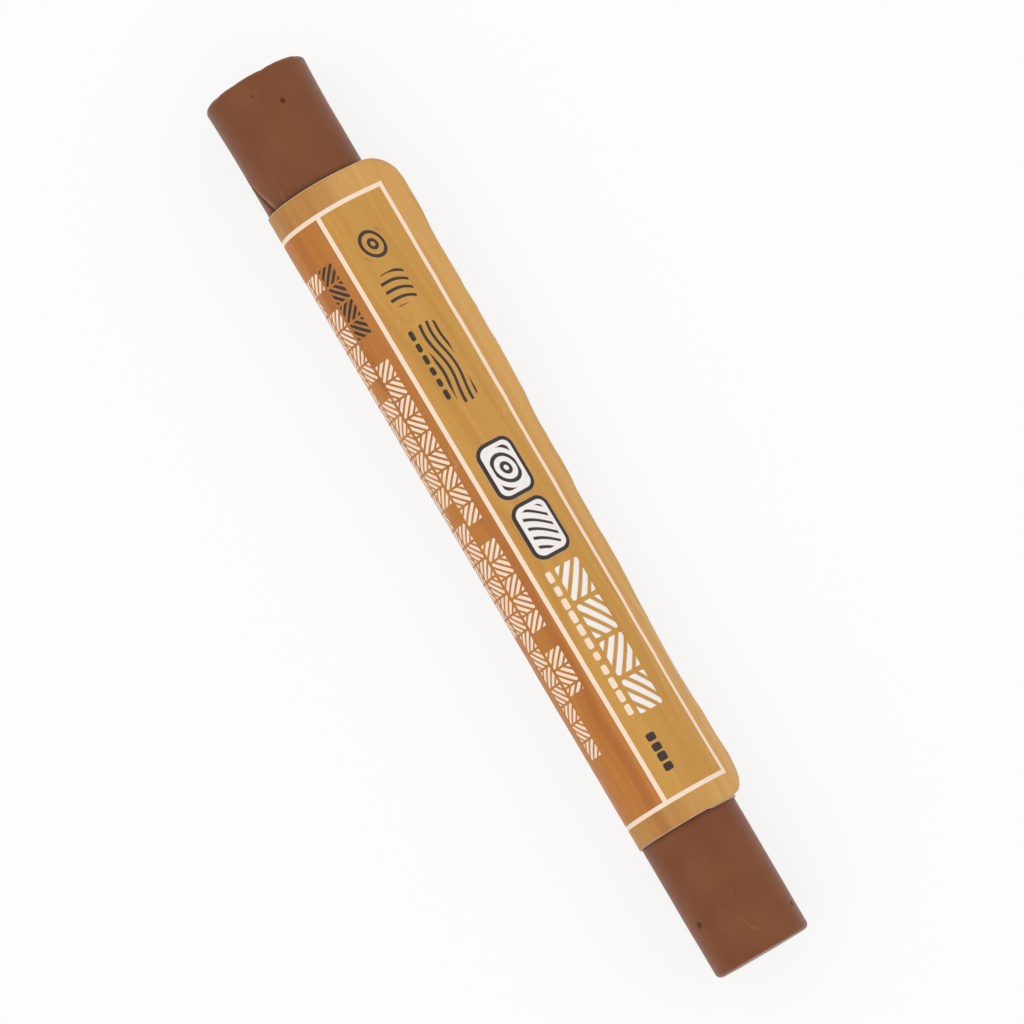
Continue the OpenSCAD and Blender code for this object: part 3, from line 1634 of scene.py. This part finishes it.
def cast_surface_tree() -> bpy.types.NodeTree:
    """Tree that gives the smooth stick the flaws of a casting.

    It scatters pits near both ends, makes the long sides and the pour end's rim slightly uneven,
    and cuts one slanting scrape with a small lip beside it. Apart from the lip, all of it goes
    inwards, so the stick keeps its size.

    Returns:
        The tree.
    """
    numbers = [
        "Stick Length", "Pour Radius", "Pit Zone", "Pits Per Area", "Least Pit", "Largest Pit",
        "Waves", "Unevenness", "Rim Waves", "Rim Wear", "Rim Width", "Scrape Place",
        "Scrape Bearing", "Scrape Slant", "Scrape Half Length", "Scrape Half Width",
        "Scrape Depth", "Scrape Waves", "Lip Height",
    ]
    ports = [
        Port("Geometry", Kind.SHAPE),
        *(Port(name) for name in numbers),
        Port("Seed", Kind.COUNT),
        Port("Wax", Kind.FINISH),
    ]
    graph = Group("Cast Surface", "GeometryNodeTree", ports, [Port("Geometry", Kind.SHAPE)])
    port = graph.port
    place = graph.field("GeometryNodeInputPosition")
    normal = graph.field("GeometryNodeInputNormal")
    pit, pit_radius = scattered_pits(graph, place)
    scrape, lip = slanting_scrape(graph, place)

    # Unevenness of the long sides, and wear of the pour end's rim
    stretched = graph.scaled(place, (0.5, 1.0, 1.0))
    uneven = graph.noise(stretched, port("Waves"), seed=1.0).smooth(0.3, 0.7)
    nick = graph.noise(place, port("Rim Waves"), seed=2.0).smooth(0.42, 0.7)
    x, _, _ = graph.parts(place)
    rim = x.peak(port("Rim Width")) * nick

    depth = pit * pit_radius + uneven * port("Unevenness") + rim * port("Rim Wear")
    depth = depth + scrape * port("Scrape Depth") - lip * port("Lip Height")
    inward = graph.node("ShaderNodeVectorMath", {0: normal}, operation="SCALE")
    feed(inward.inputs["Scale"], depth * -1.0)
    # Share of painted shade in a pit's colour, where the scrape takes it in full
    pit_darkness = 0.7
    # The stored vector holds the mask of painted shade in pits and scrape, then the mask of the
    # painted highlight on the lip
    flaws = graph.vector((pit * pit_darkness).greatest(scrape), lip, 0.0)
    named = graph.keep(port("Geometry"), FLAWS, flaws)
    moved = {"Geometry": named, "Offset": inward.outputs[0]}
    sunk = graph.field("GeometryNodeSetPosition", moved)
    result = graph.field("GeometryNodeRealizeInstances", {"Geometry": sunk})
    dressed = {"Geometry": result, "Material": port("Wax")}
    return graph.give("Geometry", graph.field("GeometryNodeSetMaterial", dressed))


# Sub-assemblies


@dataclass
class WaxStick:
    """The cast stick: tapered, swollen at its pour end and with a rounded edge at both ends."""

    sizes: Sizes
    finish: CastWax = field(default_factory=CastWax)
    segments: int = 276
    fine_step: float = 0.127 * MM
    coarse_step: float = 3 * MM
    face_step: float = 0.15 * MM
    edge_steps: int = 8
    hidden_margin: float = 0.5 * MM
    pit_zone: float = 5.5 * MM
    pits_per_square_mm: float = 0.035
    least_pit: float = 0.16 * MM
    largest_pit: float = 0.42 * MM
    waves: float = 220.0
    unevenness: float = 0.035 * MM
    rim_waves: float = 420.0
    rim_wear: float = 0.1 * MM
    rim_width: float = 0.8 * MM
    scrape_place: float = 10.6 * MM
    scrape_bearing: float = math.radians(-70)
    scrape_slant: float = math.radians(29)
    scrape_half_length: float = 3.6 * MM
    scrape_half_width: float = 0.33 * MM
    scrape_depth: float = 0.26 * MM
    scrape_waves: float = 700.0
    lip_height: float = 0.06 * MM
    seed: int = 7

    def side_radius(self, x: float) -> float:
        """Radius of the long side.

        Args:
            x: Distance from the pour face, in metres.

        Returns:
            The radius in metres.
        """
        sizes = self.sizes
        taper = sizes.pour_radius + (sizes.mould_radius - sizes.pour_radius) * x / sizes.length
        share = (x - sizes.pour_edge) / (sizes.swell_length - sizes.pour_edge)
        return taper + sizes.swell * max(0.0, 1 - max(share, 0.0)) ** 2

    def profile(self) -> list[tuple[float, float]]:
        """Half section of the stick.

        Returns:
            Distance along the stick and radius, from the middle of the pour face to that of the
            mould's end, without the two middles.
        """
        sizes = self.sizes
        quarter = np.linspace(0, math.pi / 2, self.edge_steps + 1)[1:]
        pour, mould = sizes.pour_edge, sizes.mould_edge
        rim = self.side_radius(pour) - pour
        pour_face = [(0.0, r) for r in np.linspace(0, rim, round(rim / self.face_step))[1:]]
        pour_edge = [(pour * (1 - math.cos(a)), rim + pour * math.sin(a)) for a in quarter]
        round_start = sizes.length - mould
        hidden = (sizes.label_start + self.hidden_margin, sizes.label_end - self.hidden_margin)
        stretches = [
            (pour, hidden[0], self.fine_step),
            (*hidden, self.coarse_step),
            (hidden[1], round_start, self.fine_step),
        ]
        side = [
            (x, self.side_radius(x))
            for start, end, step in stretches
            for x in np.linspace(start, end, round((end - start) / step) + 1)[1:]
        ]
        last = self.side_radius(round_start) - mould
        mould_edge = [
            (round_start + mould * math.sin(a), last + mould * math.cos(a)) for a in quarter
        ]
        steps = round(last / self.face_step)
        mould_face = [(sizes.length, r) for r in np.linspace(last, 0, steps)[1:-1]]
        return [*pour_face, *pour_edge, *side, *mould_edge, *mould_face]

    def mesh(self) -> bpy.types.Mesh:
        """Turns the half section about the X axis into a closed mesh.

        Returns:
            The mesh.
        """
        profile = np.array(self.profile())
        count = self.segments
        turn = np.linspace(0, 2 * math.pi, count, endpoint=False)
        x = np.repeat(profile[:, 0], count)
        y = np.outer(profile[:, 1], np.cos(turn)).ravel()
        z = np.outer(profile[:, 1], np.sin(turn)).ravel()
        rings = np.column_stack([x, y, z])
        points = np.vstack([rings, [[0, 0, 0], [self.sizes.length, 0, 0]]])
        here = np.arange(count)
        after = (here + 1) % count
        start = np.arange(len(profile) - 1)[:, None] * count
        corners = (start + here, start + after, start + count + after, start + count + here)
        quads = np.stack(corners, -1)
        first_pole, last_pole = len(rings), len(rings) + 1
        last_ring = (len(profile) - 1) * count
        fans = np.stack([np.full_like(here, first_pole), after, here], -1).tolist()
        far_fan = [np.full_like(here, last_pole), last_ring + here, last_ring + after]
        fans += np.stack(far_fan, -1).tolist()
        made = bpy.data.meshes.new("cast_stick")
        made.from_pydata(points.tolist(), [], [*quads.reshape(-1, 4).tolist(), *fans])
        made.shade_smooth()
        return made

    def build(self) -> bpy.types.Object:
        """Makes the piece and puts it in the frame.

        Returns:
            The piece.
        """
        piece = new_object("cast_stick", self.mesh())
        values = {
            "Stick Length": self.sizes.length,
            "Pour Radius": self.sizes.pour_radius,
            "Pit Zone": self.pit_zone,
            "Pits Per Area": self.pits_per_square_mm / MM**2,
            "Least Pit": self.least_pit,
            "Largest Pit": self.largest_pit,
            "Waves": self.waves,
            "Unevenness": self.unevenness,
            "Rim Waves": self.rim_waves,
            "Rim Wear": self.rim_wear,
            "Rim Width": self.rim_width,
            "Scrape Place": self.scrape_place,
            "Scrape Bearing": self.scrape_bearing,
            "Scrape Slant": self.scrape_slant,
            "Scrape Half Length": self.scrape_half_length,
            "Scrape Half Width": self.scrape_half_width,
            "Scrape Depth": self.scrape_depth,
            "Scrape Waves": self.scrape_waves,
            "Lip Height": self.lip_height,
            "Seed": self.seed,
            "Wax": self.finish.build(self.sizes),
        }
        grow(piece, cast_surface_tree(), values)
        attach(piece, BODY)
        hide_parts("wax_stick")
        return piece


@dataclass
class Winding:
    """How the label lies, which the paper and the film under it have in common."""

    sizes: Sizes
    early_lift: float = math.radians(6)
    early_length: float = 62 * MM
    curl: float = math.radians(4.5) / MM
    flattening: float = 0.88
    ripple: float = 1.6
    ripple_waves: float = 60.0
    ripple_seed: float = 60.2
    wrinkle: float = 0.03 * MM
    wrinkle_waves: float = 260.0
    wrinkle_growth: float = 3.0
    slope: float = 0.005
    turn: float = 1.6
    seed: float = 1.7
    columns: int = 172
    rows: int = 196

    def lay(
        self, name: str, tree: bpy.types.NodeTree, layer: Mapping[str, Any]
    ) -> bpy.types.Object:
        """Winds one layer round the stick.

        Args:
            name: Name of the piece.
            tree: The winding tree.
            layer: What the tree's inputs for the layer's own sizes and finishes take.

        Returns:
            The piece, as a plain mesh.
        """
        sizes = self.sizes
        values = {
            "Stick Length": sizes.length,
            "Pour Radius": sizes.pour_radius,
            "Mould Radius": sizes.mould_radius,
            "Label Start": sizes.label_start,
            "Sheet Width": sizes.label_width,
            "Sheet Length": sizes.sheet_length,
            "Corner Radius": sizes.corner,
            "Lay Height": sizes.film + sizes.paper,
            "Climb Shift": sizes.climb_shift,
            "Loose Width": sizes.loose,
            "Lift Angle": sizes.lift_angle,
            "Early Lift": self.early_lift,
            "Early Length": self.early_length,
            "Curl": self.curl,
            "Flattening": self.flattening,
            "Ripple": self.ripple,
            "Ripple Waves": self.ripple_waves,
            "Ripple Seed": self.ripple_seed,
            "Wrinkle": self.wrinkle,
            "Wrinkle Waves": self.wrinkle_waves,
            "Wrinkle Growth": self.wrinkle_growth,
            "Slope": self.slope,
            "Turn": self.turn,
            "Seed": self.seed,
            "Columns": self.columns,
            "Rows": self.rows,
        }
        return grow(new_object(name), tree, {**values, **layer})


@dataclass
class PaperLabel:
    """The printed label, wound once round the stick and on over its own start edge."""

    winding: Winding
    printed: PrintedPaper = field(default_factory=PrintedPaper)
    cut_edge: BarePaper = BarePaper("cut_paper_edge", srgb(244, 214, 184), srgb(228, 186, 146))
    back: BarePaper = BarePaper("paper_back", srgb(236, 229, 216), srgb(222, 212, 196))

    def build(self, tree: bpy.types.NodeTree) -> bpy.types.Object:
        """Makes the piece and puts it in the frame.

        Args:
            tree: The winding tree.

        Returns:
            The piece.
        """
        sizes = self.winding.sizes
        layer = {
            "Setback": 0.0,
            "Height": sizes.film,
            "Thickness": sizes.paper,
            "Face": self.printed.build(),
            "Edge": self.cut_edge.build(),
            "Back": self.back.build(),
        }
        piece = self.winding.lay("paper_label", tree, layer)
        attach(piece, BODY)
        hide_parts("label")
        return piece


@dataclass
class AdhesiveFilm:
    """The film of adhesive on the back of the label, a little smaller than the paper."""

    winding: Winding
    finish: DriedAdhesive = field(default_factory=DriedAdhesive)
    setback: float = 0.3 * MM

    def build(self, tree: bpy.types.NodeTree) -> bpy.types.Object:
        """Makes the piece and puts it in the frame.

        Args:
            tree: The winding tree.

        Returns:
            The piece.
        """
        dried = self.finish.build()
        layer = {
            "Setback": self.setback,
            "Height": 0.0,
            "Thickness": self.winding.sizes.film,
            "Face": dried,
            "Edge": dried,
            "Back": dried,
        }
        piece = self.winding.lay("adhesive_film", tree, layer)
        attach(piece, BODY)
        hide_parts("label_adhesive")
        return piece


@dataclass(frozen=True)
class SoftBox:
    """A square lamp that faces the middle of the stick."""

    name: str
    place: tuple[float, float, float]
    side: float
    watts: float


@dataclass
class Studio:
    """Floor, light and camera, with the camera where the photograph's stood."""

    sizes: Sizes
    floor_side: float = 4.0
    ambient: float = 0.8
    boxes: tuple[SoftBox, ...] = (
        SoftBox("key_box", (0.12, 0.62, 0.62), 0.6, 0.9),
        SoftBox("top_box", (0.0, -0.5, 0.85), 0.8, 1.5),
    )
    camera_height: float = 700 * MM
    camera_past_end: float = 15 * MM
    camera_side: float = -2 * MM
    aim_side: float = 0.6 * MM
    stick_tilt: float = math.radians(59.7)
    view_width: float = 101 * MM
    sensor: float = 36.0
    near_clip: float = 10 * MM

    def floor(self) -> None:
        """Lays the floor under the lowest point of the object."""
        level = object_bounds()[0].z
        half = self.floor_side / 2
        signs = ((-1, -1), (1, -1), (1, 1), (-1, 1))
        corners = [(x * half, y * half, level) for x, y in signs]
        mesh = bpy.data.meshes.new("floor")
        mesh.from_pydata(corners, [], [(0, 1, 2, 3)])
        mesh.materials.append(PaleFloor().build())
        made = new_object("floor", mesh)
        made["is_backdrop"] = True

    def lamp(self, box: SoftBox) -> None:
        """Hangs a soft box.

        Args:
            box: The lamp.
        """
        light = bpy.data.lights.new(box.name, "AREA")
        light.size = box.side
        light.energy = box.watts
        made = bpy.data.objects.new(box.name, light)
        bpy.context.scene.collection.objects.link(made)
        made.location = box.place
        aim = Vector((self.sizes.length / 2, 0, 0)) - made.location
        made.rotation_euler = aim.to_track_quat("-Z", "Y").to_euler()

    def lights(self) -> None:
        """Sets even soft light from all round, with a soft box on either side of the stick."""
        world = bpy.data.worlds.new("studio")
        world.use_nodes = True
        bpy.context.scene.world = world
        graph = Graph(world.node_tree)
        strength = seen_directly(graph).blend(self.ambient, 1.0)
        sky = graph.node("ShaderNodeBackground", {"Color": WHITE, "Strength": strength})
        graph.node("ShaderNodeOutputWorld", {"Surface": sky.outputs[0]})
        for box in self.boxes:
            self.lamp(box)

    def camera(self) -> None:
        """Hangs the camera high over the stick, a little past its mould end."""
        lens = bpy.data.cameras.new("camera")
        made = bpy.data.objects.new("camera", lens)
        bpy.context.scene.collection.objects.link(made)
        bpy.context.scene.camera = made
        target = Vector((self.sizes.length / 2, self.aim_side, 0))
        end = self.sizes.length + self.camera_past_end
        place = Vector((end, self.camera_side, self.camera_height))
        back = (place - target).normalized()
        upright = Vector((-math.sin(self.stick_tilt), math.cos(self.stick_tilt), 0))
        right = upright.cross(back).normalized()
        up = back.cross(right)
        turn = Matrix((right, up, back)).transposed().to_4x4()
        made.matrix_world = Matrix.Translation(place) @ turn
        lens.sensor_width = self.sensor
        lens.lens = self.sensor * (place - target).length / self.view_width
        lens.clip_start = self.near_clip

    def build(self) -> None:
        """Sets up the whole studio."""
        self.floor()
        self.lights()
        self.camera()
        bpy.context.scene.view_settings.view_transform = "Standard"


def main() -> None:
    """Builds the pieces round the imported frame, then the studio."""
    logging.basicConfig(level=logging.INFO, format="%(message)s")
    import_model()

    sizes = Sizes.from_frame()
    tree = winding_tree()
    winding = Winding(sizes)
    pieces = [
        WaxStick(sizes).build(),
        PaperLabel(winding).build(tree),
        AdhesiveFilm(winding).build(tree),
    ]
    for piece in pieces:
        LOG.info("%s: %d faces", piece.name, len(piece.data.polygons))
    Studio(sizes).build()


if __name__ == "__main__":
    main()
